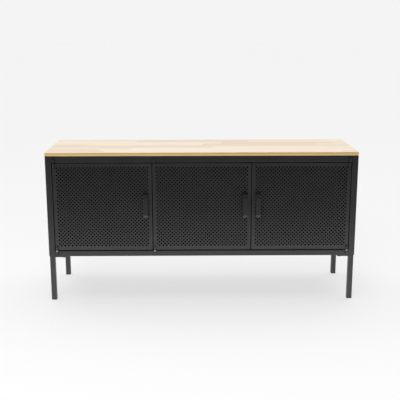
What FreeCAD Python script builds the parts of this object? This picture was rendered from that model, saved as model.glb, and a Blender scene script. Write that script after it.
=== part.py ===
"""TV stand with three perforated steel doors, a wooden top and four square steel legs.

Millimetres. +X is the stand's right as seen by a viewer in front, +Y runs from the doors to the back, +Z is up.
The origin is on the floor, under the centre of the whole stand, handles included.
"""

import FreeCAD, Part
import math
import os

# --- Driving dimensions -------------------------------------------------------------------------------------------
WIDTH = 1200.0  # the wooden top and the cabinet under it
DEPTH = 350.0  # the wooden top, from its front edge to its back edge
HEIGHT = 590.0  # floor to the upper face of the top
TOP_THICKNESS = 13.0
CABINET_BASE = 180.0  # floor to the underside of the steel cabinet
POST = 24.0  # width of the front posts, seen from the front
UPPER_RAIL = 25.0  # heights of the front rails
LOWER_RAIL = 22.0
SHEET = 1.2  # cabinet and door sheet
BEND = 0.8  # inner radius of a fold
RETURN = 34.0  # how far a post or rail is folded back into the cabinet
REAR_FLANGE = 15.0
BACK_SET = 3.0  # the top reaches this far behind the cabinet

DOORS = 3
DOOR_GAP = 2.5  # beside each door
DOOR_GAP_TOP = 3.0  # above and below each door
DOOR_DEPTH = 15.0  # the door sheet's folded rim
DOOR_CHAMFER = 0.9  # softens the rim's front edge
HOLE_RADIUS = 3.25
HOLE_PITCH = 14.45  # between holes of one row
ROW_PITCH = 7.15  # between rows, each shifted by half a pitch
ROWS = 44
FIRST_ROW = 19.0  # door's lower edge to the first row
SHORT_ROW = 24  # holes in the first row and every second one after it; the rows between hold one more

HANDLE_REACH = 27.0  # door face to the front of the handle
HANDLE_WIDTH = 18.0
HANDLE_BAR = 7.0
HANDLE_LEG = 8.0
HANDLE_BEND = 15.0
HANDLE_ROWS = (16, 28)  # each of the handle's two screws takes the place of a hole in one of these rows
HANDLE_LIFT = 1.3  # the screws sit this much higher than those rows
HANDLE_SCREW = 2.0  # radius

BARREL = 4.0  # hinge barrel radius
HINGE_INSET = 6.0  # door edge to hinge axis
HINGE_STAND_OFF = 4.5  # door face to hinge axis
PIN = 2.45
PIN_FIT = 0.05  # radial clearance of the pin in the door's barrels
SEAT_FIT = 0.02  # radial clearance of a pin, screw or plug that stays put

LEG = 20.0
LEG_WALL = 1.5
LEG_INSET = 2.0  # from the cabinet's front and back, and the front legs' from its sides
BACK_LEG_INSET = 8.0  # the back legs' from its sides
PLATE = 65.0
PLATE_THICKNESS = 4.0
CAP = 3.0  # plastic foot under the leg

DIVIDER = 20.0
CABLE_HOLE = 26.0
CABLE_HOLE_DROP = 60.0  # cabinet's upper face to the middle of each cable outlet

# --- Places worked out from them ----------------------------------------------------------------------------------
FRONT = -(DEPTH - HANDLE_REACH) / 2
BACK = FRONT + DEPTH
REAR = BACK - BACK_SET
SIDE = WIDTH / 2
DECK = HEIGHT - TOP_THICKNESS  # the cabinet's upper face
RAIL_TOP = DECK - UPPER_RAIL  # lower edge of the upper rail
RAIL_BOTTOM = CABINET_BASE + LOWER_RAIL  # upper edge of the lower rail
OPENING = WIDTH - 2 * POST
DOOR_WIDTH = (OPENING - (DOORS + 1) * DOOR_GAP) / DOORS
DOOR_LOW = RAIL_BOTTOM + DOOR_GAP_TOP
DOOR_HEIGHT = RAIL_TOP - DOOR_GAP_TOP - DOOR_LOW
DOOR_STEP = DOOR_WIDTH + DOOR_GAP
ROW_START = (DOOR_WIDTH - (SHORT_ROW - 1) * HOLE_PITCH) / 2  # door edge to the first hole of a short row
AXIS_Y = FRONT - HINGE_STAND_OFF
SEAMS = (-DOOR_STEP / 2, DOOR_STEP / 2)  # the gaps between neighbouring doors

X = FreeCAD.Vector(1, 0, 0)
Y = FreeCAD.Vector(0, 1, 0)
Z = FreeCAD.Vector(0, 0, 1)

nodes = {}


# --- Shapes that several pieces share -----------------------------------------------------------------------------
def box(low, high):
    """A block between two opposite corners."""
    size = [b - a for a, b in zip(low, high)]
    return Part.makeBox(*size, FreeCAD.Vector(*low))


def rod(radius, start, end):
    """A round bar between two points."""
    a, b = FreeCAD.Vector(*start), FreeCAD.Vector(*end)
    return Part.makeCylinder(radius, (b - a).Length, a, b - a)


def polygon(*points):
    """A closed wire through straight corners."""
    corners = [FreeCAD.Vector(*p) for p in points]
    return Part.makePolygon(corners + corners[:1])


def flat(*wires):
    """A plane face: the first wire is its edge, the others are its holes."""
    face = Part.Face(list(wires))
    face.validate()
    return face


def rounded(corners, place):
    """A face from (u, v, radius) corners, each rounded to its radius; place turns (u, v) into a point."""
    starts, ends, bends = [], [], []
    for i, (u, v, radius) in enumerate(corners):
        here = place(u, v)
        if radius == 0:
            starts.append(here)
            ends.append(here)
            bends.append(None)
            continue
        before = (place(*corners[i - 1][:2]) - here).normalize()
        after = (place(*corners[(i + 1) % len(corners)][:2]) - here).normalize()
        half = before.getAngle(after) / 2
        starts.append(here + before * (radius / math.tan(half)))
        ends.append(here + after * (radius / math.tan(half)))
        towards = (before + after).normalize()
        middle = here + towards * (radius / math.sin(half) - radius)
        bends.append(Part.Arc(starts[-1], middle, ends[-1]).toShape())
    edges = []
    for i, bend in enumerate(bends):
        if bend:
            edges.append(bend)
        edges.append(Part.makeLine(ends[i], starts[(i + 1) % len(corners)]))
    return Part.Face(Part.Wire(edges))


def folded(path, place, run):
    """Sheet folded at right angles, always the same way, along path (its outer side), and run long."""
    steps = [(b[0] - a[0], b[1] - a[1]) for a, b in zip(path, path[1:])]
    turn = steps[0][0] * steps[1][1] - steps[0][1] * steps[1][0]
    side = 1 if turn > 0 else -1
    normals = []
    for u, v in steps:
        length = math.hypot(u, v)
        normals.append((-v * side / length, u * side / length))
    inner = []
    for i, (u, v) in enumerate(path):
        joined = set(normals[max(i - 1, 0) : i + 1])
        inner.append((u + SHEET * sum(n[0] for n in joined), v + SHEET * sum(n[1] for n in joined)))
    last = len(path) - 1
    outside = [(u, v, 0 if i in (0, last) else BEND + SHEET) for i, (u, v) in enumerate(path)]
    inside = [(u, v, 0 if i in (0, last) else BEND) for i, (u, v) in enumerate(inner)]
    return rounded(outside + inside[::-1], place).extrude(run)


def fused(shape, *others):
    return shape.fuse(list(others)).removeSplitter()


def drilled(shape, *holes):
    return shape.cut(list(holes))


def mirrored(shape):
    """The same piece on the stand's other side."""
    return shape.mirror(FreeCAD.Vector(0, 0, 0), X)


def screw(radius, length, head_radius, head_height, seat, towards):
    """A pan-head screw: its head's flat side is at seat, and its shank runs towards."""
    seat = FreeCAD.Vector(*seat)
    head = Part.makeCylinder(head_radius, head_height, seat - towards * head_height, towards)
    rim = [e for e in head.Edges if isinstance(e.Curve, Part.Circle) and (e.CenterOfMass - seat).Length > 0.1]
    head = head.makeFillet(head_height * 0.4, rim)
    recess = Part.makeCylinder(head_radius * 0.4, head_height * 0.6, seat - towards * head_height, towards)
    shank = Part.makeCylinder(radius, length, seat, towards)
    return drilled(fused(head, shank), recess)


def group(solids):
    return Part.makeCompound(solids)


# --- Cabinet: folded sheets, spot-welded where their flanges meet ---------------------------------------------------
def side_panel():
    """Left side and front post in one sheet: post return, post face, side, and a flange for the back."""
    path = [
        (-SIDE + POST, FRONT + RETURN),
        (-SIDE + POST, FRONT),
        (-SIDE, FRONT),
        (-SIDE, REAR),
        (-SIDE + REAR_FLANGE, REAR),
    ]
    return folded(path, lambda u, v: FreeCAD.Vector(u, v, CABINET_BASE), Z * (DECK - CABINET_BASE))


def front_rail(deck, up, height):
    """Channel between the posts: a flange in the deck's plane, the face, and a return; up is +1 or -1."""
    half = SIDE - POST - 0.2
    path = [
        (FRONT + RETURN, deck + up * height),
        (FRONT, deck + up * height),
        (FRONT, deck),
        (FRONT + RETURN, deck),
    ]
    return folded(path, lambda u, v: FreeCAD.Vector(-half, u, v), X * (2 * half))


def deck_sheet(low):
    """Flat sheet behind the rail, from side to side, notched round the sides' rear flanges."""
    half, notched = SIDE - SHEET, SIDE - REAR_FLANGE - 0.2
    sheet = box((-half, FRONT + RETURN, low), (half, REAR - 4, low + SHEET))
    return fused(sheet, box((-notched, REAR - 5, low), (notched, REAR - SHEET, low + SHEET)))


def back_strip(low, high):
    """Upright strip along the deck's rear edge, which the back panels are screwed to."""
    half = SIDE - REAR_FLANGE - 0.2
    return box((-half, REAR - SHEET, low), (half, REAR, high))


def divider(seam):
    """Upright pan behind the gap between two doors, notched round the returns of both rails."""
    low, high = CABINET_BASE + SHEET, DECK - SHEET
    front, rear = FRONT + DOOR_DEPTH + 2, REAR - SHEET
    left, right = seam - DIVIDER / 2, seam + DIVIDER / 2
    pan = box((left, front, low), (right, rear, high))
    hollow = box((left + SHEET, front + SHEET, low + SHEET), (right + 1, rear - SHEET, high - SHEET))
    notches = [
        box((left - 1, front - 1, RAIL_TOP - 0.5), (right + 1, FRONT + RETURN + 0.5, high + 1)),
        box((left - 1, front - 1, low - 1), (right + 1, FRONT + RETURN + 0.5, RAIL_BOTTOM + 0.5)),
    ]
    return drilled(pan, hollow, *notches)


BACK_SHEET = 1.0
CABLE_Z = DECK - CABLE_HOLE_DROP
BACK_EDGES = (-SIDE + 1.5, SEAMS[0], SEAMS[1], SIDE - 1.5)
BACK_SCREW = 2.0
BACK_SCREW_ROWS = (CABINET_BASE + LOWER_RAIL / 2, DECK - UPPER_RAIL / 2)


def bay_centre(bay):
    return (BACK_EDGES[bay] + BACK_EDGES[bay + 1]) / 2


def back_screw_places(bay):
    return [(bay_centre(bay) + step, z) for z in BACK_SCREW_ROWS for step in (-150, 0, 150)]


def back_panel(bay):
    """Thin sheet that closes one bay from behind, with a round cable outlet."""
    gap = 0.3
    low = (BACK_EDGES[bay] + gap, REAR, CABINET_BASE + 2)
    high = (BACK_EDGES[bay + 1] - gap, REAR + BACK_SHEET, DECK - 2)
    outlet = rod(CABLE_HOLE, (bay_centre(bay), REAR - 1, CABLE_Z), (bay_centre(bay), REAR + 2, CABLE_Z))
    holes = [rod(BACK_SCREW + 0.3, (x, REAR - 1, z), (x, REAR + 2, z)) for x, z in back_screw_places(bay)]
    return drilled(box(low, high), outlet, *holes)


def cable_grommet(bay):
    """Plastic ring pressed into the outlet: a flange outside, a sleeve, and a snap rim inside."""
    sleeve, bore = CABLE_HOLE - 0.1, CABLE_HOLE - 3
    outer_face, inner_face = REAR + BACK_SHEET, REAR - 0.2
    profile = [
        (bore, outer_face + 1.5, 0.6),
        (CABLE_HOLE + 4, outer_face + 1.5, 0.8),
        (CABLE_HOLE + 4, outer_face, 0),
        (sleeve, outer_face, 0),
        (sleeve, inner_face, 0),
        (sleeve + 1.2, inner_face, 0),
        (sleeve, inner_face - 1.8, 0),
        (bore, inner_face - 1.8, 0),
    ]
    x = bay_centre(bay)
    ring = rounded(profile, lambda u, v: FreeCAD.Vector(x + u, v, CABLE_Z))
    return ring.revolve(FreeCAD.Vector(x, 0, CABLE_Z), Y, 360)


back_screws = [
    screw(BACK_SCREW, 5, 3.6, 1.9, (x, REAR + BACK_SHEET, z), -Y)
    for bay in range(DOORS)
    for x, z in back_screw_places(bay)
]
back_screw_holes = [
    rod(BACK_SCREW + SEAT_FIT, (x, REAR - 3, z), (x, REAR + 1, z))
    for bay in range(DOORS)
    for x, z in back_screw_places(bay)
]

# --- Wooden top and the screws that hold it from below --------------------------------------------------------------
TOP_SCREW = 2.0
TOP_SCREW_PLACES = [(x, y) for x in (-540, -190 - DIVIDER, 190 + DIVIDER, 540) for y in (FRONT + 60, REAR - 40)]


def wooden_top():
    board = box((-SIDE, FRONT, DECK), (SIDE, BACK, HEIGHT))
    board = board.makeFillet(0.8, board.Edges)
    return drilled(
        board, *[rod(TOP_SCREW + SEAT_FIT, (x, y, DECK - 1), (x, y, DECK + 11)) for x, y in TOP_SCREW_PLACES]
    )


top_screws = [screw(TOP_SCREW, 11.5, 4.2, 2.4, (x, y, DECK - SHEET), Z) for x, y in TOP_SCREW_PLACES]
top_screw_holes = [rod(TOP_SCREW + 0.4, (x, y, DECK - 2), (x, y, DECK + 1)) for x, y in TOP_SCREW_PLACES]

# --- Legs: square tube welded under the outer corner of a plate, screwed up into nuts on the cabinet's floor ---------
LEG_SCREW = 3.0
LEG_SCREW_OFFSETS = ((10, 54), (54, 10), (54, 54))  # from the plate's outer corner, along X and Y
LEG_CORNERS = {
    "front_left_leg": (-SIDE + LEG_INSET, FRONT + LEG_INSET, 1, 1),
    "front_right_leg": (SIDE - LEG_INSET, FRONT + LEG_INSET, -1, 1),
    "back_left_leg": (-SIDE + BACK_LEG_INSET, REAR - LEG_INSET, 1, -1),
    "back_right_leg": (SIDE - BACK_LEG_INSET, REAR - LEG_INSET, -1, -1),
}


def square(x, y, size, radius, z):
    """A rounded square face centred on (x, y)."""
    half = size / 2
    corners = [(x - half, y - half, radius), (x + half, y - half, radius)]
    corners += [(x + half, y + half, radius), (x - half, y + half, radius)]
    return rounded(corners, lambda u, v: FreeCAD.Vector(u, v, z))


def leg_screw_places(x, y, inward_x, inward_y):
    return [(x + inward_x * u, y + inward_y * v) for u, v in LEG_SCREW_OFFSETS]


def leg(x, y, inward_x, inward_y):
    top = CABINET_BASE - PLATE_THICKNESS
    cx, cy = x + inward_x * LEG / 2, y + inward_y * LEG / 2
    tube = square(cx, cy, LEG, 2.0, CAP).extrude(Z * (top - CAP))
    bore = square(cx, cy, LEG - 2 * LEG_WALL, 0.8, CAP - 1).extrude(Z * (top - CAP + 1))
    plate_centre = (x + inward_x * PLATE / 2, y + inward_y * PLATE / 2)
    plate = square(*plate_centre, PLATE, 3.0, top).extrude(Z * PLATE_THICKNESS)
    holes = [
        rod(LEG_SCREW + 0.3, (u, v, top - 1), (u, v, CABINET_BASE + 1))
        for u, v in leg_screw_places(x, y, inward_x, inward_y)
    ]
    return drilled(fused(tube.cut(bore), plate), *holes)


def foot_cap(x, y, inward_x, inward_y):
    """Plastic foot: a pad as wide as the leg, and a plug that fills the tube's end."""
    cx, cy = x + inward_x * LEG / 2, y + inward_y * LEG / 2
    pad = square(cx, cy, LEG, 2.0, 0).extrude(Z * CAP)
    pad = pad.makeChamfer(0.6, [e for e in pad.Edges if e.BoundBox.ZMax < 0.01])
    plug = square(cx, cy, LEG - 2 * LEG_WALL - 0.1, 0.8, CAP).extrude(Z * 15)
    return fused(pad, plug)


def weld_nut(x, y):
    """Hexagon nut on the upper side of the cabinet's floor."""
    radius, height, floor = 5.77, 5.0, CABINET_BASE + SHEET
    corners = [(math.radians(60 * i), radius) for i in range(6)]
    hexagon = flat(polygon(*[(x + r * math.cos(a), y + r * math.sin(a), floor) for a, r in corners]))
    return drilled(hexagon.extrude(Z * height), rod(LEG_SCREW + SEAT_FIT, (x, y, floor - 1), (x, y, floor + 6)))


leg_screw_spots = [spot for corner in LEG_CORNERS.values() for spot in leg_screw_places(*corner)]
leg_screws = [
    screw(LEG_SCREW, 11.5, 5.4, 3.0, (x, y, CABINET_BASE - PLATE_THICKNESS), Z) for x, y in leg_screw_spots
]
leg_screw_holes = [
    rod(LEG_SCREW + 0.3, (x, y, CABINET_BASE - 1), (x, y, CABINET_BASE + 2)) for x, y in leg_screw_spots
]

# --- Magnetic catches under the upper rail's return, one near each door's free edge ---------------------------------
CATCH = (40.0, 16.0, 12.0)
CATCH_FROM_EDGE = 50.0
CATCH_SCREW = 1.5


def catch_places(x):
    """The catch's two screws, along X and Y."""
    y = FRONT + DOOR_DEPTH + 0.5 + CATCH[1] / 2 + 2
    return [(x - 14, y), (x + 14, y)]


def magnetic_catch(x):
    front = FRONT + DOOR_DEPTH + 0.5
    body = box((x - CATCH[0] / 2, front, RAIL_TOP - CATCH[2]), (x + CATCH[0] / 2, front + CATCH[1], RAIL_TOP))
    body = body.makeFillet(1.2, [e for e in body.Edges if e.BoundBox.ZLength > 1])
    holes = [rod(CATCH_SCREW + 0.1, (u, v, RAIL_TOP - 20), (u, v, RAIL_TOP + 1)) for u, v in catch_places(x)]
    recesses = [rod(3.2, (u, v, RAIL_TOP - 20), (u, v, RAIL_TOP - 6)) for u, v in catch_places(x)]
    return drilled(body, *holes, *recesses)


def catch_screw_set(x):
    return [screw(CATCH_SCREW, 9, 2.9, 1.8, (u, v, RAIL_TOP - 6), Z) for u, v in catch_places(x)]


# --- Hinges: upright barrels on the rails and on the door, a pin through each pair, a washer under each door --------
RAIL_BARRELS = ((RAIL_BOTTOM - 16, RAIL_BOTTOM), (RAIL_TOP, RAIL_TOP + 12.5))
DOOR_BARRELS = ((DOOR_LOW, DOOR_LOW + 14), (DOOR_LOW + DOOR_HEIGHT - 14, DOOR_LOW + DOOR_HEIGHT))
WASHER = DOOR_GAP_TOP - 0.3


def barrel(x, low, high, bore):
    """A round barrel with a flat foot that meets the sheet behind it."""
    body = rod(BARREL, (x, AXIS_Y, low), (x, AXIS_Y, high))
    foot = box((x - BARREL + 0.5, AXIS_Y, low), (x + BARREL - 0.5, FRONT, high))
    return drilled(fused(body, foot), rod(bore, (x, AXIS_Y, low - 1), (x, AXIS_Y, high + 1)))


def hinge_pins(x):
    """Headed pins: the lower one is pushed up through its barrels, the upper one down."""
    low, high = RAIL_BARRELS[0][0], RAIL_BARRELS[1][1]
    lower = fused(
        rod(PIN, (x, AXIS_Y, low), (x, AXIS_Y, DOOR_BARRELS[0][1] - 2)),
        rod(3.6, (x, AXIS_Y, low - 1.2), (x, AXIS_Y, low)),
    )
    upper = fused(
        rod(PIN, (x, AXIS_Y, DOOR_BARRELS[1][0] + 2), (x, AXIS_Y, high)),
        rod(3.6, (x, AXIS_Y, high), (x, AXIS_Y, high + 1.2)),
    )
    return [lower, upper]


def hinge_washer(x):
    ring = rod(4.6, (x, AXIS_Y, RAIL_BOTTOM), (x, AXIS_Y, RAIL_BOTTOM + WASHER))
    return ring.cut(rod(PIN + PIN_FIT, (x, AXIS_Y, RAIL_BOTTOM - 1), (x, AXIS_Y, DOOR_LOW)))


# --- Doors ----------------------------------------------------------------------------------------------------------
def row_height(row):
    return DOOR_LOW + FIRST_ROW + row * ROW_PITCH


def screw_height(row):
    return row_height(row) + HANDLE_LIFT


def row_holes(left, row, handle_x):
    """(x, z, radius) of each hole in a row, a handle screw's own hole included."""
    long_row = row % 2
    start = left + ROW_START - long_row * HOLE_PITCH / 2
    xs = [start + i * HOLE_PITCH for i in range(SHORT_ROW + long_row)]
    if row not in HANDLE_ROWS:
        return [(x, row_height(row), HOLE_RADIUS) for x in xs]
    spots = [(x, row_height(row), HOLE_RADIUS) for x in xs if abs(x - handle_x) > 1]
    return spots + [(handle_x, screw_height(row), HANDLE_SCREW + 0.2)]


def door_panel(left, handle_x):
    """One perforated sheet with its four edges folded back.

    The perforated faces are made a row at a time, each row being a strip of the sheet's front and back,
    and all the faces are then sewn into one solid.
    """
    right, low, high = left + DOOR_WIDTH, DOOR_LOW, DOOR_LOW + DOOR_HEIGHT
    inner, depth = FRONT + SHEET, FRONT + DOOR_DEPTH
    strips = [row_height(row) + ROW_PITCH / 2 for row in range(ROWS - 1)]
    front_edges = [low + DOOR_CHAMFER, *strips, high - DOOR_CHAMFER]
    back_edges = [low + SHEET, *strips, high - SHEET]
    faces = []
    for row in range(ROWS):
        front_holes, back_holes = [], []
        for x, z, radius in row_holes(left, row, handle_x):
            circle = Part.makeCircle(radius, FreeCAD.Vector(x, FRONT, z), Y)
            front_holes.append(Part.Wire(circle))
            back_holes.append(Part.Wire(circle.translated(Y * SHEET)))
            faces.append(circle.extrude(Y * SHEET))
        for edges, y, inset, holes in (
            (front_edges, FRONT, DOOR_CHAMFER, front_holes),
            (back_edges, inner, SHEET, back_holes),
        ):
            a, b, c, d = left + inset, right - inset, edges[row], edges[row + 1]
            faces.append(flat(polygon((a, y, c), (b, y, c), (b, y, d), (a, y, d)), *holes))

    bevel = FRONT + DOOR_CHAMFER
    for edge, step in ((left, 1), (right, -1)):
        front_side = [(edge + step * DOOR_CHAMFER, FRONT, z) for z in front_edges]
        faces.append(flat(polygon(*front_side, (edge, bevel, high), (edge, bevel, low))))
        faces.append(flat(polygon((edge, bevel, low), (edge, bevel, high), (edge, depth, high), (edge, depth, low))))
        wall = edge + step * SHEET
        back_side = [(wall, inner, z) for z in back_edges]
        faces.append(flat(polygon(*back_side, (wall, depth, high - SHEET), (wall, depth, low + SHEET))))
    for edge, step in ((low, 1), (high, -1)):
        a, b = left + DOOR_CHAMFER, right - DOOR_CHAMFER
        z = edge + step * DOOR_CHAMFER
        faces.append(flat(polygon((a, FRONT, z), (b, FRONT, z), (right, bevel, edge), (left, bevel, edge))))
        faces.append(flat(polygon((left, bevel, edge), (right, bevel, edge), (right, depth, edge), (left, depth, edge))))
        a, b, z = left + SHEET, right - SHEET, edge + step * SHEET
        faces.append(flat(polygon((a, inner, z), (b, inner, z), (b, depth, z), (a, depth, z))))
    rim = polygon((left, depth, low), (right, depth, low), (right, depth, high), (left, depth, high))
    a, b, c, d = left + SHEET, right - SHEET, low + SHEET, high - SHEET
    faces.append(flat(rim, polygon((a, depth, c), (b, depth, c), (b, depth, d), (a, depth, d))))

    shell = Part.makeShell(faces)
    shell.sewShape()
    solid = Part.makeSolid(shell)
    if solid.Volume < 0:
        solid.reverse()
    return solid


def bow_handle(x):
    """Flat bar bent to a bow, its two legs drilled for screws from inside the door."""
    low = screw_height(HANDLE_ROWS[0]) - HANDLE_LEG / 2
    high = screw_height(HANDLE_ROWS[1]) + HANDLE_LEG / 2
    reach, bar = FRONT - HANDLE_REACH, FRONT - HANDLE_REACH + HANDLE_BAR
    inner_bend = HANDLE_BEND - HANDLE_BAR
    outline = [
        (FRONT, low, 0),
        (reach, low, HANDLE_BEND),
        (reach, high, HANDLE_BEND),
        (FRONT, high, 0),
        (FRONT, high - HANDLE_LEG, 0),
        (bar, high - HANDLE_LEG, inner_bend),
        (bar, low + HANDLE_LEG, inner_bend),
        (FRONT, low + HANDLE_LEG, 0),
    ]
    half = HANDLE_WIDTH / 2
    bow = rounded(outline, lambda u, v: FreeCAD.Vector(x - half, u, v)).extrude(X * HANDLE_WIDTH)
    long_edges = [
        e
        for e in bow.Edges
        if e.BoundBox.XLength < 0.01 and not (e.BoundBox.YMin > FRONT - 0.01 or e.BoundBox.YMax > FRONT + 0.01)
    ]
    bow = bow.makeFillet(1.4, long_edges)
    return drilled(
        bow,
        *[
            rod(HANDLE_SCREW + SEAT_FIT, (x, FRONT + 1, screw_height(row)), (x, FRONT - 11, screw_height(row)))
            for row in HANDLE_ROWS
        ],
    )


def handle_screws(x):
    return [screw(HANDLE_SCREW, 11, 3.6, 2.2, (x, FRONT + SHEET, screw_height(row)), -Y) for row in HANDLE_ROWS]


def strike(x):
    """Steel angle under the door's upper rim, which the catch's magnet holds."""
    a, b = x - 18, x + 18
    under = DOOR_LOW + DOOR_HEIGHT - SHEET
    return fused(
        box((a, FRONT + 4, under - SHEET), (b, FRONT + DOOR_DEPTH, under)),
        box((a, FRONT + DOOR_DEPTH - SHEET, under - 12), (b, FRONT + DOOR_DEPTH, under)),
    )


DOOR_NAMES = ("left_door", "middle_door", "right_door")
HINGED_LEFT = (True, True, False)

hinge_axes = []
catch_centres = []
for door, (name, hinged_left) in enumerate(zip(DOOR_NAMES, HINGED_LEFT)):
    left = -OPENING / 2 + DOOR_GAP + door * DOOR_STEP
    right = left + DOOR_WIDTH
    hinge_edge, free_edge, inward = (left, right, 1) if hinged_left else (right, left, -1)
    hinge_x = hinge_edge + inward * HINGE_INSET
    handle_x = free_edge - inward * ROW_START
    catch_x = free_edge - inward * CATCH_FROM_EDGE
    hinge_axes.append(hinge_x)
    catch_centres.append(catch_x)
    nodes[name + "_panel"] = door_panel(left, handle_x)
    nodes[name + "_handle"] = bow_handle(handle_x)
    nodes[name + "_handle_screws"] = group(handle_screws(handle_x))
    nodes[name + "_hinge_barrels"] = group([barrel(hinge_x, *span, PIN + PIN_FIT) for span in DOOR_BARRELS])
    nodes[name + "_strike"] = strike(catch_x)

# --- The cabinet's nodes, with the holes that its fasteners need ----------------------------------------------------
catch_holes = [
    rod(CATCH_SCREW + SEAT_FIT, (u, v, RAIL_TOP - 1), (u, v, RAIL_TOP + 2))
    for x in catch_centres
    for u, v in catch_places(x)
]
nodes["left_side_panel"] = side_panel()
nodes["right_side_panel"] = mirrored(side_panel())
nodes["upper_rail"] = drilled(front_rail(DECK, -1, UPPER_RAIL), *catch_holes)
nodes["lower_rail"] = drilled(front_rail(CABINET_BASE, 1, LOWER_RAIL), *leg_screw_holes)
nodes["top_deck"] = drilled(deck_sheet(DECK - SHEET), *top_screw_holes)
nodes["bottom_deck"] = drilled(deck_sheet(CABINET_BASE), *leg_screw_holes)
nodes["top_back_strip"] = drilled(back_strip(RAIL_TOP, DECK), *back_screw_holes)
nodes["bottom_back_strip"] = drilled(back_strip(CABINET_BASE, RAIL_BOTTOM), *back_screw_holes)
nodes["left_divider"] = divider(SEAMS[0])
nodes["right_divider"] = divider(SEAMS[1])
for bay, side in enumerate(("left", "middle", "right")):
    nodes[side + "_back_panel"] = back_panel(bay)
nodes["cable_grommets"] = group([cable_grommet(bay) for bay in range(DOORS)])
nodes["back_panel_screws"] = group(back_screws)
nodes["wooden_top"] = wooden_top()
nodes["top_screws"] = group(top_screws)
for name, corner in LEG_CORNERS.items():
    nodes[name] = leg(*corner)
nodes["foot_caps"] = group([foot_cap(*corner) for corner in LEG_CORNERS.values()])
nodes["leg_screws"] = group(leg_screws)
nodes["leg_weld_nuts"] = group([weld_nut(x, y) for x, y in leg_screw_spots])
nodes["rail_hinge_barrels"] = group([barrel(x, *span, PIN + SEAT_FIT) for x in hinge_axes for span in RAIL_BARRELS])
nodes["hinge_pins"] = group([pin for x in hinge_axes for pin in hinge_pins(x)])
nodes["hinge_washers"] = group([hinge_washer(x) for x in hinge_axes])
nodes["magnetic_catches"] = group([magnetic_catch(x) for x in catch_centres])
nodes["catch_screws"] = group([s for x in catch_centres for s in catch_screw_set(x)])

os.makedirs("parts", exist_ok=True)
for name, shape in nodes.items():
    shape.exportStep(f"parts/{name}.step")
    print(name, len(shape.Solids), shape.isValid(), round(shape.Volume))
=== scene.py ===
import math

import bmesh
import bpy
from mathutils import Matrix, Vector


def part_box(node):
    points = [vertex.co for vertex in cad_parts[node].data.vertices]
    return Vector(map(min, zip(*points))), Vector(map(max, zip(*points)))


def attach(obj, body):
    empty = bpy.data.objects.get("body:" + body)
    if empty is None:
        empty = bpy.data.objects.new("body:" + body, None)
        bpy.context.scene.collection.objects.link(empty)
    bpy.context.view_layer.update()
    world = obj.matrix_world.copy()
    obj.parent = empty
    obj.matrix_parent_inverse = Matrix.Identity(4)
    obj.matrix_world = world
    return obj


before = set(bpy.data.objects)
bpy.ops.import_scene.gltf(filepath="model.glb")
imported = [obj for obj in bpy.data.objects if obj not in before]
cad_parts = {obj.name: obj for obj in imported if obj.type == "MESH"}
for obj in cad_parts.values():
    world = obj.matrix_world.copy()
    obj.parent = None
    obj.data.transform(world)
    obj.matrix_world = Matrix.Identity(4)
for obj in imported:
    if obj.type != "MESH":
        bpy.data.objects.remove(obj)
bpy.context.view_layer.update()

# --- Cabinet sheets ---
# Side panels, front rails, decks, back strips and dividers of 1.2 mm steel, folded on a press brake and
# spot-welded where their flanges meet. The body is sprayed with black powder and baked, which leaves a satin
# skin with the faint pebbling of orange peel. The top deck, back strips and dividers inside are coloured
# almost
# black and given almost no reflection: painted shade for the dark inside of the bays.
def new_material(name):
    """A material's node tree and its Principled shader."""
    material = bpy.data.materials.new(name)
    material.use_nodes = True
    return material, material.node_tree, material.node_tree.nodes["Principled BSDF"]


def node(tree, kind, settings=None, **inputs):
    """A new node; an input is a constant or another node's output. Underscores stand for spaces."""
    made = tree.nodes.new("ShaderNode" + kind)
    for name, value in (settings or {}).items():
        setattr(made, name, value)
    for name, value in inputs.items():
        socket = made.inputs[name.replace("_", " ")]
        if isinstance(value, bpy.types.NodeSocket):
            tree.links.new(value, socket)
        else:
            socket.default_value = value
    return made


def feed(tree, shader, **inputs):
    """Links outputs to the shader's inputs."""
    for name, output in inputs.items():
        tree.links.new(output, shader.inputs[name.replace("_", " ")])


def ramp(tree, factor, *stops):
    """A colour ramp with (position, colour) stops."""
    made = node(tree, "ValToRGB", Fac=factor)
    elements = made.color_ramp.elements
    while len(elements) < len(stops):
        elements.new(0.5)
    for element, (position, colour) in zip(elements, stops):
        element.position = position
        element.color = (*colour, 1.0)
    return made.outputs["Color"]


def spread(tree, factor, low, high):
    """Maps a 0 to 1 output onto low to high."""
    return node(tree, "MapRange", Value=factor, To_Min=low, To_Max=high).outputs["Result"]


def maths(tree, operation, a, b=0.0, c=0.0):
    """One arithmetic step on outputs or numbers."""
    made = node(tree, "Math", {"operation": operation})
    for socket, value in zip(made.inputs, (a, b, c)):
        if isinstance(value, bpy.types.NodeSocket):
            tree.links.new(value, socket)
        else:
            socket.default_value = value
    return made.outputs["Value"]


def coated_steel(name, dark, light, satin, peel_size, sheen=1.76):
    """Baked powder: slow drifts of tone and gloss, and a pebbled surface with bumps peel_size apart."""
    material, tree, shader = new_material(name)
    place = node(tree, "TexCoord").outputs["Object"]
    drift = node(tree, "TexNoise", Vector=place, Scale=7.0, Detail=4.0, Roughness=0.6).outputs["Fac"]
    gloss = node(tree, "TexNoise", Vector=place, Scale=38.0, Detail=3.0).outputs["Fac"]
    peel = node(tree, "TexNoise", Vector=place, Scale=1.0 / peel_size, Detail=2.0, Roughness=0.55)
    specks = node(tree, "TexVoronoi", Vector=place, Scale=1.7 / peel_size)
    height = maths(tree, "ADD", peel.outputs["Fac"], specks.outputs["Distance"])
    bump = node(tree, "Bump", Height=height, Strength=0.22, Distance=0.0002)
    feed(
        tree,
        shader,
        Base_Color=ramp(tree, drift, (0.3, dark), (0.7, light)),
        Roughness=spread(tree, gloss, satin - 0.05, satin + 0.05),
        Normal=bump.outputs["Normal"],
    )
    shader.inputs["IOR"].default_value = sheen
    return material


def finish(material, *names):
    """Gives CAD pieces their finish."""
    for name in names:
        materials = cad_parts[name].data.materials
        materials.clear()
        materials.append(material)


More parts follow.
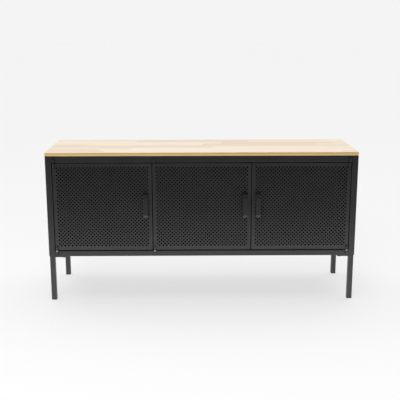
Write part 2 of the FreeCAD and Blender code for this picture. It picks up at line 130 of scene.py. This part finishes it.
powder_coat = coated_steel(
    "black powder coat",
    dark=(0.0205, 0.0207, 0.022),
    light=(0.0265, 0.0268, 0.028),
    satin=0.38,
    peel_size=0.0012,
)
finish(powder_coat, "left_side_panel", "right_side_panel", "upper_rail", "lower_rail", "bottom_deck")
# painted shade: the inside pieces are near-black and almost unreflecting, standing in for the shade in the
# bays
shade_coat = coated_steel(
    "black powder coat, painted shade",
    dark=(0.001, 0.001, 0.001),
    light=(0.002, 0.002, 0.002),
    satin=0.8,
    peel_size=0.0012,
    sheen=1.05,
)
finish(shade_coat, "top_deck", "top_back_strip", "bottom_back_strip", "left_divider", "right_divider")

# --- Back panels ---
# Three sheets of 1 mm steel close the back. They carry the same coat, a little flatter because thin sheet is
# sprayed lighter, and each is held by six small black pan-head screws.
thin_coat = coated_steel(
    "black powder coat, thin",
    dark=(0.018, 0.0182, 0.019),
    light=(0.026, 0.0262, 0.027),
    satin=0.5,
    peel_size=0.0009,
)
finish(thin_coat, "left_back_panel", "middle_back_panel", "right_back_panel")


def turned_metal(name, dark, light, polish, bump_strength):
    """Plated or blackened hardware: cloudy plating and the fine rings that turning leaves."""
    material, tree, shader = new_material(name)
    place = node(tree, "TexCoord").outputs["Object"]
    cloud = node(tree, "TexNoise", Vector=place, Scale=420.0, Detail=4.0, Roughness=0.65).outputs["Fac"]
    lines = node(tree, "Mapping", Vector=place, Scale=(300.0, 300.0, 5200.0)).outputs["Vector"]
    turning = node(tree, "TexNoise", Vector=lines, Scale=1.0, Detail=2.0).outputs["Fac"]
    bump = node(tree, "Bump", Height=turning, Strength=bump_strength, Distance=0.0001)
    feed(
        tree,
        shader,
        Base_Color=ramp(tree, cloud, (0.25, dark), (0.75, light)),
        Roughness=spread(tree, cloud, polish + 0.08, polish - 0.06),
        Normal=bump.outputs["Normal"],
    )
    shader.inputs["Metallic"].default_value = 1.0
    return material


black_oxide = turned_metal(
    "black oxide", dark=(0.030, 0.030, 0.032), light=(0.062, 0.062, 0.066), polish=0.38, bump_strength=0.25
)
finish(black_oxide, "back_panel_screws")


# --- Cable outlets ---
# Rings of black polyamide, moulded in one piece and pressed into the holes in the back panels. Spark-eroded
# moulds give them an even, matt grain.
def moulded_plastic(name, dark, light, matt, grain):
    """Plastic from a spark-eroded mould, with grain as the pitch of its texture."""
    material, tree, shader = new_material(name)
    place = node(tree, "TexCoord").outputs["Object"]
    cloud = node(tree, "TexNoise", Vector=place, Scale=90.0, Detail=3.0).outputs["Fac"]
    pits = node(tree, "TexNoise", Vector=place, Scale=1.0 / grain, Detail=3.0, Roughness=0.7).outputs["Fac"]
    bump = node(tree, "Bump", Height=pits, Strength=0.3, Distance=0.0001)
    feed(
        tree,
        shader,
        Base_Color=ramp(tree, cloud, (0.3, dark), (0.7, light)),
        Roughness=spread(tree, pits, matt - 0.06, matt + 0.06),
        Normal=bump.outputs["Normal"],
    )
    shader.inputs["IOR"].default_value = 1.46
    return material


black_plastic = moulded_plastic(
    "black moulded plastic", dark=(0.013, 0.013, 0.013), light=(0.02, 0.02, 0.02), matt=0.58, grain=0.0004
)
finish(black_plastic, "cable_grommets")

# --- Felt lining, painted shade ---
# Sheets of thin, near-black felt with almost no reflection inside each bay: painted shade, standing in for
# the shade inside the cabinet behind the door holes. One on the back panel, cut round the cable outlet, one
# on the floor, and one on each of the cabinet's side walls.
SHADE_FELT = 0.0010
SHADE_FELT_MARGIN = 0.002
OUTLET_CLEARANCE = 0.004
ARC_STEPS = 48

# painted shade: near-black felt with almost no reflection, put where the bays hold only shade
shade_felt, shade_felt_tree, shade_felt_shader = new_material("black felt, painted shade")
shade_felt_place = node(shade_felt_tree, "TexCoord").outputs["Object"]
wisps = node(shade_felt_tree, "TexNoise", Vector=shade_felt_place, Scale=950.0, Detail=5.0, Roughness=0.7, Distortion=1.2)
clumps = node(shade_felt_tree, "TexNoise", Vector=shade_felt_place, Scale=120.0, Detail=3.0)
nap = node(shade_felt_tree, "Bump", Height=wisps.outputs["Fac"], Strength=0.6, Distance=0.0006)
shades = ((0.3, (0.0010, 0.0010, 0.0011)), (0.7, (0.0022, 0.0022, 0.0024)))
feed(
    shade_felt_tree,
    shade_felt_shader,
    Base_Color=ramp(shade_felt_tree, clumps.outputs["Fac"], *shades),
    Normal=nap.outputs["Normal"],
)
shade_felt_shader.inputs["Roughness"].default_value = 1.0
shade_felt_shader.inputs["Specular IOR Level"].default_value = 0.02


def piece(name, mesh, material, body):
    """Turns a bmesh into a finished piece that rides on a CAD body."""
    bmesh.ops.recalc_face_normals(mesh, faces=mesh.faces[:])
    data = bpy.data.meshes.new(name)
    mesh.to_mesh(data)
    mesh.free()
    data.materials.append(material)
    made = bpy.data.objects.new(name, data)
    bpy.context.scene.collection.objects.link(made)
    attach(made, body)
    return made


def shade_felt_sheet(low, high, centre, radius):
    """A rectangle of shade felt (painted shade) between two corners, with a round hole; both outlines have as
    many points.
    """
    outer, inner = [], []
    for i in range(ARC_STEPS):
        a = math.tau * (i + 0.5) / ARC_STEPS
        way = Vector((math.cos(a), 0, math.sin(a)))
        reach = min(
            ((high.x if way.x > 0 else low.x) - centre.x) / way.x,
            ((high.z if way.z > 0 else low.z) - centre.z) / way.z,
        )
        inner.append(centre + way * radius)
        outer.append(centre + way * reach)
    # the rectangle's corners take the place of the points nearest to them
    for corner in [Vector((x, centre.y, z)) for x in (low.x, high.x) for z in (low.z, high.z)]:
        nearest = min(range(ARC_STEPS), key=lambda i: (outer[i] - corner).length)
        outer[nearest] = corner
    mesh = bmesh.new()
    loops = [
        [mesh.verts.new((p.x, y, p.z)) for p in outline]
        for y in (low.y, high.y)
        for outline in (outer, inner)
    ]
    front_outer, front_inner, back_outer, back_inner = loops
    for a, b in (
        (front_outer, front_inner),
        (front_inner, back_inner),
        (back_inner, back_outer),
        (back_outer, front_outer),
    ):
        for i in range(ARC_STEPS):
            j = (i + 1) % ARC_STEPS
            mesh.faces.new((a[i], a[j], b[j], b[i]))
    return mesh


outlet_low, outlet_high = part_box("cable_grommets")
outlet_radius = (outlet_high.z - outlet_low.z) / 2 + OUTLET_CLEARANCE
top_strip_low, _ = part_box("top_back_strip")
strip_low, bottom_strip_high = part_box("bottom_back_strip")
bay_edges = [
    (strip_low.x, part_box("left_divider")[0].x),
    (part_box("left_divider")[1].x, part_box("right_divider")[0].x),
    (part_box("right_divider")[1].x, -strip_low.x),
]
for side, (left_edge, right_edge) in zip(("left", "middle", "right"), bay_edges):
    panel_low, panel_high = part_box(side + "_back_panel")
    outlet = Vector(((panel_low.x + panel_high.x) / 2, panel_low.y, (outlet_low.z + outlet_high.z) / 2))
    mesh = shade_felt_sheet(
        Vector((left_edge + SHADE_FELT_MARGIN, panel_low.y - SHADE_FELT, bottom_strip_high.z + SHADE_FELT_MARGIN)),
        Vector((right_edge - SHADE_FELT_MARGIN, panel_low.y, top_strip_low.z - SHADE_FELT_MARGIN)),
        outlet,
        outlet_radius,
    )
    piece(side + "_shade_felt_lining", mesh, shade_felt, "cabinet")


def add_block(mesh, low, high, bevel):
    """A block with softened edges between two corners."""
    made = bmesh.ops.create_cube(mesh, size=1.0)["verts"]
    size = high - low
    bmesh.ops.scale(mesh, vec=size, verts=made)
    bmesh.ops.translate(mesh, vec=(low + high) / 2, verts=made)
    edges = list({e for v in made for e in v.link_edges})
    bmesh.ops.bevel(mesh, geom=edges, offset=bevel, segments=2, profile=0.5, affect="EDGES")


# the floor's felt, painted shade like the rest, lies behind the lower rail and between the nuts that hold the
# legs
NUT_ROOM = 0.060
floor_low, floor_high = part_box("bottom_deck")
nuts_low, nuts_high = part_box("leg_weld_nuts")
for side, (left_edge, right_edge) in zip(("left", "middle", "right"), bay_edges):
    mat = bmesh.new()
    a = max(left_edge + SHADE_FELT_MARGIN, nuts_low.x + NUT_ROOM)
    b = min(right_edge - SHADE_FELT_MARGIN, nuts_high.x - NUT_ROOM)
    front, rear = floor_low.y + SHADE_FELT_MARGIN, floor_high.y - SHADE_FELT_MARGIN
    add_block(mat, Vector((a, front, floor_high.z)), Vector((b, rear, floor_high.z + SHADE_FELT)), 0.0002)
    piece(side + "_floor_shade_felt", mat, shade_felt, "cabinet")

deck_low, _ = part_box("top_deck")
# painted shade: near-black felt on each side wall and in the back corner beside it
for side, x, inward in (("left", floor_low.x, 1), ("right", floor_high.x, -1)):
    wall_shade_felt = bmesh.new()
    faces = sorted((x, x + inward * SHADE_FELT))
    low = Vector((faces[0], floor_low.y + SHADE_FELT_MARGIN, bottom_strip_high.z))
    high = Vector((faces[1], floor_high.y - SHADE_FELT_MARGIN, deck_low.z - SHADE_FELT_MARGIN))
    add_block(wall_shade_felt, low, high, 0.0002)
    edges = sorted((x, strip_low.x * inward))
    low = Vector((edges[0], top_strip_low.y - SHADE_FELT, bottom_strip_high.z))
    high = Vector((edges[1], top_strip_low.y, deck_low.z - SHADE_FELT_MARGIN))
    add_block(wall_shade_felt, low, high, 0.0002)
    piece(side + "_wall_shade_felt", wall_shade_felt, shade_felt, "cabinet")

# --- Wooden top ---
# A thin board glued up from long pale staves, laid side by side in two plies, then sanded, its arrises
# eased, and sealed with matt lacquer. Eight screws come up through the cabinet's top deck to hold it.
STAVE_WIDTH = 0.038
STAVE_LENGTH = 0.46
TOP_PLY = 0.45  # share of the board's thickness that the upper ply takes

board_low, board_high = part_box("wooden_top")
board, wood, lacquer = new_material("laminated wood, matt lacquer")
along = node(wood, "SeparateXYZ", Vector=node(wood, "TexCoord").outputs["Object"])

# the plies lie one over the other, and the lower one's staves are shifted by half a width
ply_line = board_high.z - TOP_PLY * (board_high.z - board_low.z)
lower_ply = maths(wood, "LESS_THAN", along.outputs["Z"], ply_line)
shift = maths(wood, "MULTIPLY", lower_ply, 0.5)
across = maths(wood, "MULTIPLY_ADD", along.outputs["Y"], 1 / STAVE_WIDTH, shift)
row = maths(wood, "FLOOR", across)
row_draw = node(wood, "TexWhiteNoise", {"noise_dimensions": "2D"})
wood.links.new(node(wood, "CombineXYZ", X=row, Y=lower_ply).outputs["Vector"], row_draw.inputs["Vector"])
row_start = maths(wood, "MULTIPLY", row_draw.outputs["Value"], 7.0)
lengthwise = maths(wood, "MULTIPLY_ADD", along.outputs["X"], 1 / STAVE_LENGTH, row_start)
stave = node(wood, "CombineXYZ", X=row, Y=maths(wood, "FLOOR", lengthwise), Z=lower_ply).outputs["Vector"]
stave_draw = node(wood, "TexWhiteNoise", {"noise_dimensions": "3D"}, Vector=stave)
# each stave is cut from its own place in a log
log_place = node(wood, "VectorMath", {"operation": "MULTIPLY_ADD"})
wood.links.new(stave_draw.outputs["Color"], log_place.inputs[0])
log_place.inputs[1].default_value = (3.0, 3.0, 3.0)
wood.links.new(node(wood, "TexCoord").outputs["Object"], log_place.inputs[2])


def grain(scales, detail, roughness=0.55, distortion=0.0):
    """Noise drawn out along the staves; scales are waves per metre along X, Y and Z."""
    stretched = node(wood, "Mapping", Vector=log_place.outputs["Vector"], Scale=scales).outputs["Vector"]
    settings = {"Scale": 1.0, "Detail": detail, "Roughness": roughness, "Distortion": distortion}
    return node(wood, "TexNoise", Vector=stretched, **settings).outputs["Fac"]


rings = grain((1.6, 95.0, 95.0), 3.0, distortion=0.6)
fibres = grain((9.0, 900.0, 900.0), 3.0, 0.6)
pores = grain((45.0, 2300.0, 2300.0), 1.0)

tone = maths(wood, "MULTIPLY_ADD", stave_draw.outputs["Value"], 0.5, maths(wood, "MULTIPLY", rings, 0.5))
tone = maths(wood, "MULTIPLY_ADD", fibres, 0.22, tone)
heartwood = ramp(
    wood,
    tone,
    (0.28, (0.83, 0.705, 0.575)),
    (0.58, (0.78, 0.65, 0.515)),
    (0.85, (0.69, 0.555, 0.415)),
)
open_pores = node(wood, "MapRange", Value=pores, From_Min=0.63, From_Max=0.74, To_Min=1.0, To_Max=0.72)
pore_shade = open_pores.outputs["Result"]

# the lacquer soaks into the edges and turns them golden; the upper ply is the darker of the two there
facing = node(wood, "SeparateXYZ", Vector=node(wood, "NewGeometry").outputs["Normal"])
upright = maths(wood, "LESS_THAN", maths(wood, "ABSOLUTE", facing.outputs["Z"]), 0.6)
edge_tint = ramp(wood, lower_ply, (0.0, (1.0, 0.81, 0.39)), (1.0, (1.25, 1.06, 0.60)))


def blended(mode, factor, a, b):
    """Two colours combined."""
    made = wood.nodes.new("ShaderNodeMix")
    made.data_type, made.blend_type = "RGBA", mode
    for socket, value in ((made.inputs["Factor"], factor), (made.inputs[6], a), (made.inputs[7], b)):
        if isinstance(value, bpy.types.NodeSocket):
            wood.links.new(value, socket)
        else:
            socket.default_value = value
    return made.outputs[2]


colour = blended("MULTIPLY", 1.0, heartwood, pore_shade)
colour = blended("MULTIPLY", upright, colour, edge_tint)

# glue lines: hairlines where two staves meet
beside = maths(wood, "ABSOLUTE", maths(wood, "SUBTRACT", maths(wood, "FRACT", across), 0.5))
endwise = maths(wood, "ABSOLUTE", maths(wood, "SUBTRACT", maths(wood, "FRACT", lengthwise), 0.5))
side_joint = maths(wood, "GREATER_THAN", beside, 0.494)
end_joint = maths(wood, "GREATER_THAN", endwise, 0.4993)
glue = maths(wood, "MAXIMUM", side_joint, end_joint)
colour = blended("MIX", maths(wood, "MULTIPLY", glue, 0.35), colour, (0.36, 0.22, 0.11, 1.0))
relief = maths(wood, "MULTIPLY_ADD", pores, -0.5, fibres)
relief = maths(wood, "MULTIPLY_ADD", glue, -0.6, relief)
feed(
    wood,
    lacquer,
    Base_Color=colour,
    Roughness=spread(wood, fibres, 0.36, 0.5),
    Normal=node(wood, "Bump", Height=relief, Strength=0.12, Distance=0.0003).outputs["Normal"],
)
lacquer.inputs["IOR"].default_value = 1.48
finish(board, "wooden_top")
finish(black_oxide, "top_screws")

# --- Legs ---
# Each leg is a square steel tube welded under the outer corner of a thick plate, coated like the cabinet.
# Three screws run up through the plate into nuts welded to the cabinet's floor.
TUBE = 0.020
TUBE_CORNER = 0.002
LEG_PLATE = 0.004
BEAD = 0.0024
RIPPLE = 0.0016  # from one ripple of the weld to the next
BEAD_ARC = 6
CORNER_STEPS = 8  # flats that round the tube's corner

finish(powder_coat, "front_left_leg", "front_right_leg", "back_left_leg", "back_right_leg", "leg_weld_nuts")
finish(black_oxide, "leg_screws")


def weld_line(corner, inward):
    """The way the torch went: along the tube's two inner faces, with (point, outward direction) pairs."""
    far = TUBE - TUBE_CORNER
    points = []
    straight = [i * RIPPLE / 4 for i in range(int(far / (RIPPLE / 4)) + 1)]
    points += [((u, TUBE), (0, 1)) for u in straight]
    for i in range(CORNER_STEPS + 1):
        a = math.pi / 2 * (1 - i / CORNER_STEPS)
        outward = (math.cos(a), math.sin(a))
        points.append(((far + TUBE_CORNER * outward[0], far + TUBE_CORNER * outward[1]), outward))
    points += [((TUBE, v), (1, 0)) for v in reversed(straight)]
    return [
        (
            Vector((corner.x + inward[0] * u, corner.y + inward[1] * v, corner.z)),
            Vector((inward[0] * nu, inward[1] * nv, 0)),
        )
        for (u, v), (nu, nv) in points
    ]


def add_weld(mesh, line):
    """A rippled fillet weld in the corner between the tube and the plate above it."""
    sections = []
    travelled, last = 0.0, line[0][0]
    for point, outward in line:
        travelled += (point - last).length
        last = point
        phase = (travelled / RIPPLE) % 1.0
        size = BEAD * (0.88 + 0.12 * math.sin(math.pi * phase))
        section = [mesh.verts.new(point - outward * 0.0003 + Vector((0, 0, 0.0003)))]
        for i in range(BEAD_ARC + 1):
            a = math.pi / 2 * i / BEAD_ARC
            drop = Vector((0, 0, size * math.sin(a)))
            section.append(mesh.verts.new(point + outward * size * math.cos(a) - drop))
        sections.append(section)
    for a, b in zip(sections, sections[1:]):
        for i in range(len(a)):
            j = (i + 1) % len(a)
            mesh.faces.new((a[i], a[j], b[j], b[i]))
    mesh.faces.new(sections[0][::-1])
    mesh.faces.new(sections[-1])


for leg in ("front_left_leg", "front_right_leg", "back_left_leg", "back_right_leg"):
    low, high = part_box(leg)
    inward = (1 if low.x < 0 else -1, 1 if leg.startswith("front") else -1)
    corner_x = low.x if inward[0] > 0 else high.x
    corner_y = low.y if inward[1] > 0 else high.y
    corner = Vector((corner_x, corner_y, high.z - LEG_PLATE))
    weld = bmesh.new()
    add_weld(weld, weld_line(corner, inward))
    bead = piece(leg + "_weld", weld, powder_coat, "cabinet")
    bead.data.polygons.foreach_set("use_smooth", [len(p.vertices) == 4 for p in bead.data.polygons])

# --- Feet ---
# Square plugs of black plastic close the tubes and spread the load on the floor. They are moulded with the
# same grain as the cable outlets and are pressed in by hand.
finish(black_plastic, "foot_caps")

# --- Hinges ---
# Each door turns on two upright pins. Barrels welded to the rails and to the door carry the coat of the
# steel round them; the thrust washers under the doors are bright zinc, and the pins are black oxide.
zinc = turned_metal(
    "bright zinc plate", dark=(0.55, 0.56, 0.57), light=(0.80, 0.80, 0.78), polish=0.28, bump_strength=0.15
)
DOORS = ("left_door", "middle_door", "right_door")
barrel_coat = coated_steel(
    "black powder coat, barrels",
    dark=(0.022, 0.022, 0.023),
    light=(0.03, 0.03, 0.031),
    satin=0.4,
    peel_size=0.0011,
)
finish(barrel_coat, "rail_hinge_barrels", *[door + "_hinge_barrels" for door in DOORS])
finish(zinc, "hinge_washers")
finish(black_oxide, "hinge_pins")

# --- Doors ---
# Each door is one steel sheet, punched with staggered round holes and then folded back along its four edges.
# It is coated in a batch of its own and comes out a little lighter than the rails and posts round it.
door_coat = coated_steel(
    "black powder coat, doors",
    dark=(0.022, 0.0225, 0.0235),
    light=(0.029, 0.0295, 0.0308),
    satin=0.38,
    peel_size=0.0012,
)
finish(door_coat, *[door + "_panel" for door in DOORS])

# --- Handles ---
# A flat bar of zinc alloy, cast as a bow with rounded edges and coated black. Two pan-head screws from
# inside the door hold it.
handle_coat = coated_steel(
    "black coat on castings",
    dark=(0.014, 0.014, 0.0145),
    light=(0.019, 0.019, 0.0198),
    satin=0.36,
    peel_size=0.0008,
)
finish(handle_coat, *[door + "_handle" for door in DOORS])
finish(black_oxide, *[door + "_handle_screws" for door in DOORS])

# --- Magnetic catches ---
# A plastic case screwed under the upper rail holds a magnet between two steel pole plates. They stand just
# proud of the case and hold a small zinc-plated steel angle inside the door.
POLE_LENGTH = 0.030
POLE_THICKNESS = 0.0012
POLE_PROUD = 0.0003
POLE_SPACING = 0.0052
MAGNET_LENGTH = 0.024

finish(black_plastic, "magnetic_catches")
finish(zinc, "catch_screws", *[door + "_strike" for door in DOORS])

# sintered ferrite has the same pitted, matt look as plastic from a spark-eroded mould
ferrite = moulded_plastic(
    "ferrite magnet", dark=(0.03, 0.03, 0.033), light=(0.05, 0.05, 0.055), matt=0.5, grain=0.0003
)

catch_low, catch_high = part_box("magnetic_catches")
catch_middle = (catch_low.z + catch_high.z) / 2
for door in DOORS:
    strike_low, strike_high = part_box(door + "_strike")
    x = (strike_low.x + strike_high.x) / 2
    poles = bmesh.new()
    for side in (-1, 1):
        z = catch_middle + side * POLE_SPACING / 2
        add_block(
            poles,
            Vector((x - POLE_LENGTH / 2, catch_low.y - POLE_PROUD, z - POLE_THICKNESS / 2)),
            Vector((x + POLE_LENGTH / 2, catch_low.y + 0.002, z + POLE_THICKNESS / 2)),
            0.00015,
        )
    piece(door + "_catch_poles", poles, zinc, "cabinet")
    magnet = bmesh.new()
    gap = (POLE_SPACING - POLE_THICKNESS) / 2
    add_block(
        magnet,
        Vector((x - MAGNET_LENGTH / 2, catch_low.y - POLE_PROUD / 2, catch_middle - gap)),
        Vector((x + MAGNET_LENGTH / 2, catch_low.y + 0.002, catch_middle + gap)),
        0.0001,
    )
    piece(door + "_catch_magnet", magnet, ferrite, "cabinet")

# --- Studio floor ---
# A wide sheet of matt white paper, cut off a little in front of the stand, where the studio is dark. Like a
# light table it gives off most of its light itself, which keeps the stand's shadow pale.
PAPER_DROP = 0.0002  # keeps the paper clear of the feet
FLOOR_FRONT = 1.08  # from the middle of the stand to the paper's front edge
FLOOR_BACK = 60.0
FLOOR_SIDE = 40.0

paper, paper_tree, paper_shader = new_material("white paper")
paper_place = node(paper_tree, "TexCoord").outputs["Object"]
fibre = node(paper_tree, "TexNoise", Vector=paper_place, Scale=2.0, Detail=4.0).outputs["Fac"]
paper_tones = ((0.0, (0.298, 0.298, 0.298)), (1.0, (0.302, 0.302, 0.302)))
feed(paper_tree, paper_shader, Base_Color=ramp(paper_tree, fibre, *paper_tones))
paper_shader.inputs["Roughness"].default_value = 0.9
paper_shader.inputs["Specular IOR Level"].default_value = 0.0
paper_shader.inputs["Emission Color"].default_value = (1.0, 1.0, 1.0, 1.0)
paper_shader.inputs["Emission Strength"].default_value = 0.6

sheet = bmesh.new()
front_corners = [(-FLOOR_SIDE, -FLOOR_FRONT), (FLOOR_SIDE, -FLOOR_FRONT)]
back_corners = [(FLOOR_SIDE, FLOOR_BACK), (-FLOOR_SIDE, FLOOR_BACK)]
sheet.faces.new([sheet.verts.new((x, y, -PAPER_DROP)) for x, y in front_corners + back_corners])
floor_mesh = bpy.data.meshes.new("studio_floor")
sheet.to_mesh(floor_mesh)
sheet.free()
floor_mesh.materials.append(paper)
floor = bpy.data.objects.new("studio_floor", floor_mesh)
bpy.context.scene.collection.objects.link(floor)

# --- Studio light ---
# The wall behind is bright, and the ceiling and the room in front of the stand are dim. An overhead bank of
# lamps, as good as a very wide sun, throws a soft shadow under the cabinet; a large panel fills the front.
# The camera sees the wall as the same paper as the floor.
PAPER_TONE = (0.905, 0.905, 0.905, 1.0)

world = bpy.data.worlds.new("studio")
bpy.context.scene.world = world
world.use_nodes = True
air = world.node_tree
towards = node(air, "SeparateXYZ", Vector=node(air, "TexCoord").outputs["Generated"])
upwards = maths(air, "MULTIPLY", towards.outputs["Z"], 0.15)
lit_side = maths(air, "MULTIPLY_ADD", towards.outputs["Y"], 0.9, upwards)
from_front = node(air, "MapRange", Value=lit_side, From_Min=-0.1, From_Max=0.5, To_Min=0.0, To_Max=1.0)
room = ramp(air, from_front.outputs["Result"], (0.0, (0.05, 0.05, 0.05)), (1.0, (0.93, 0.93, 0.93)))
room_glow = node(air, "Background", Color=room, Strength=1.0)
wall = node(air, "Background", Color=PAPER_TONE, Strength=1.0)
seen = node(air, "MixShader", Fac=node(air, "LightPath").outputs["Is Camera Ray"])
air.links.new(room_glow.outputs["Background"], seen.inputs[1])
air.links.new(wall.outputs["Background"], seen.inputs[2])
air.links.new(seen.outputs["Shader"], air.nodes["World Output"].inputs["Surface"])

overhead = bpy.data.lights.new("overhead bank", "SUN")
overhead.energy = 1.75
overhead.angle = math.radians(75)
overhead_lamp = bpy.data.objects.new("overhead bank", overhead)
overhead_lamp.rotation_euler = (math.radians(-6), math.radians(-4), 0)
bpy.context.scene.collection.objects.link(overhead_lamp)
overhead_lamp.visible_glossy = False

fill = bpy.data.lights.new("front panel", "AREA")
fill.shape = "RECTANGLE"
fill.size, fill.size_y = 3.0, 1.6
fill.energy = 84.0
fill_panel = bpy.data.objects.new("front panel", fill)
fill_panel.location = (-0.8, -3.6, 2.6)
lit_spot = Vector((0, 0, 0.4))
fill_panel.rotation_euler = (lit_spot - fill_panel.location).to_track_quat("-Z", "Y").to_euler()
bpy.context.scene.collection.objects.link(fill_panel)
fill_panel.visible_glossy = False

# --- Camera ---
# A slightly long lens, a little left of the middle and above the top, looking down along the depth.
CAMERA_PLACE = (-0.04005, -3.0937, 1.0546)
CAMERA_YAW = 0.01101
CAMERA_PITCH = 0.23738
CAMERA_ROLL = -0.00108

lens = bpy.data.cameras.new("camera")
lens.sensor_width = 36.0
lens.lens = 69.891
lens.shift_y = 0.0375
lens.clip_end = 200.0
camera = bpy.data.objects.new("camera", lens)
aim = (
    Matrix.Rotation(-CAMERA_YAW, 4, "Z")
    @ Matrix.Rotation(math.pi / 2 - CAMERA_PITCH, 4, "X")
    @ Matrix.Rotation(CAMERA_ROLL, 4, "Z")
)
camera.matrix_world = Matrix.Translation(CAMERA_PLACE) @ aim
bpy.context.scene.collection.objects.link(camera)
bpy.context.scene.camera = camera
bpy.context.scene.view_settings.view_transform = "Standard"
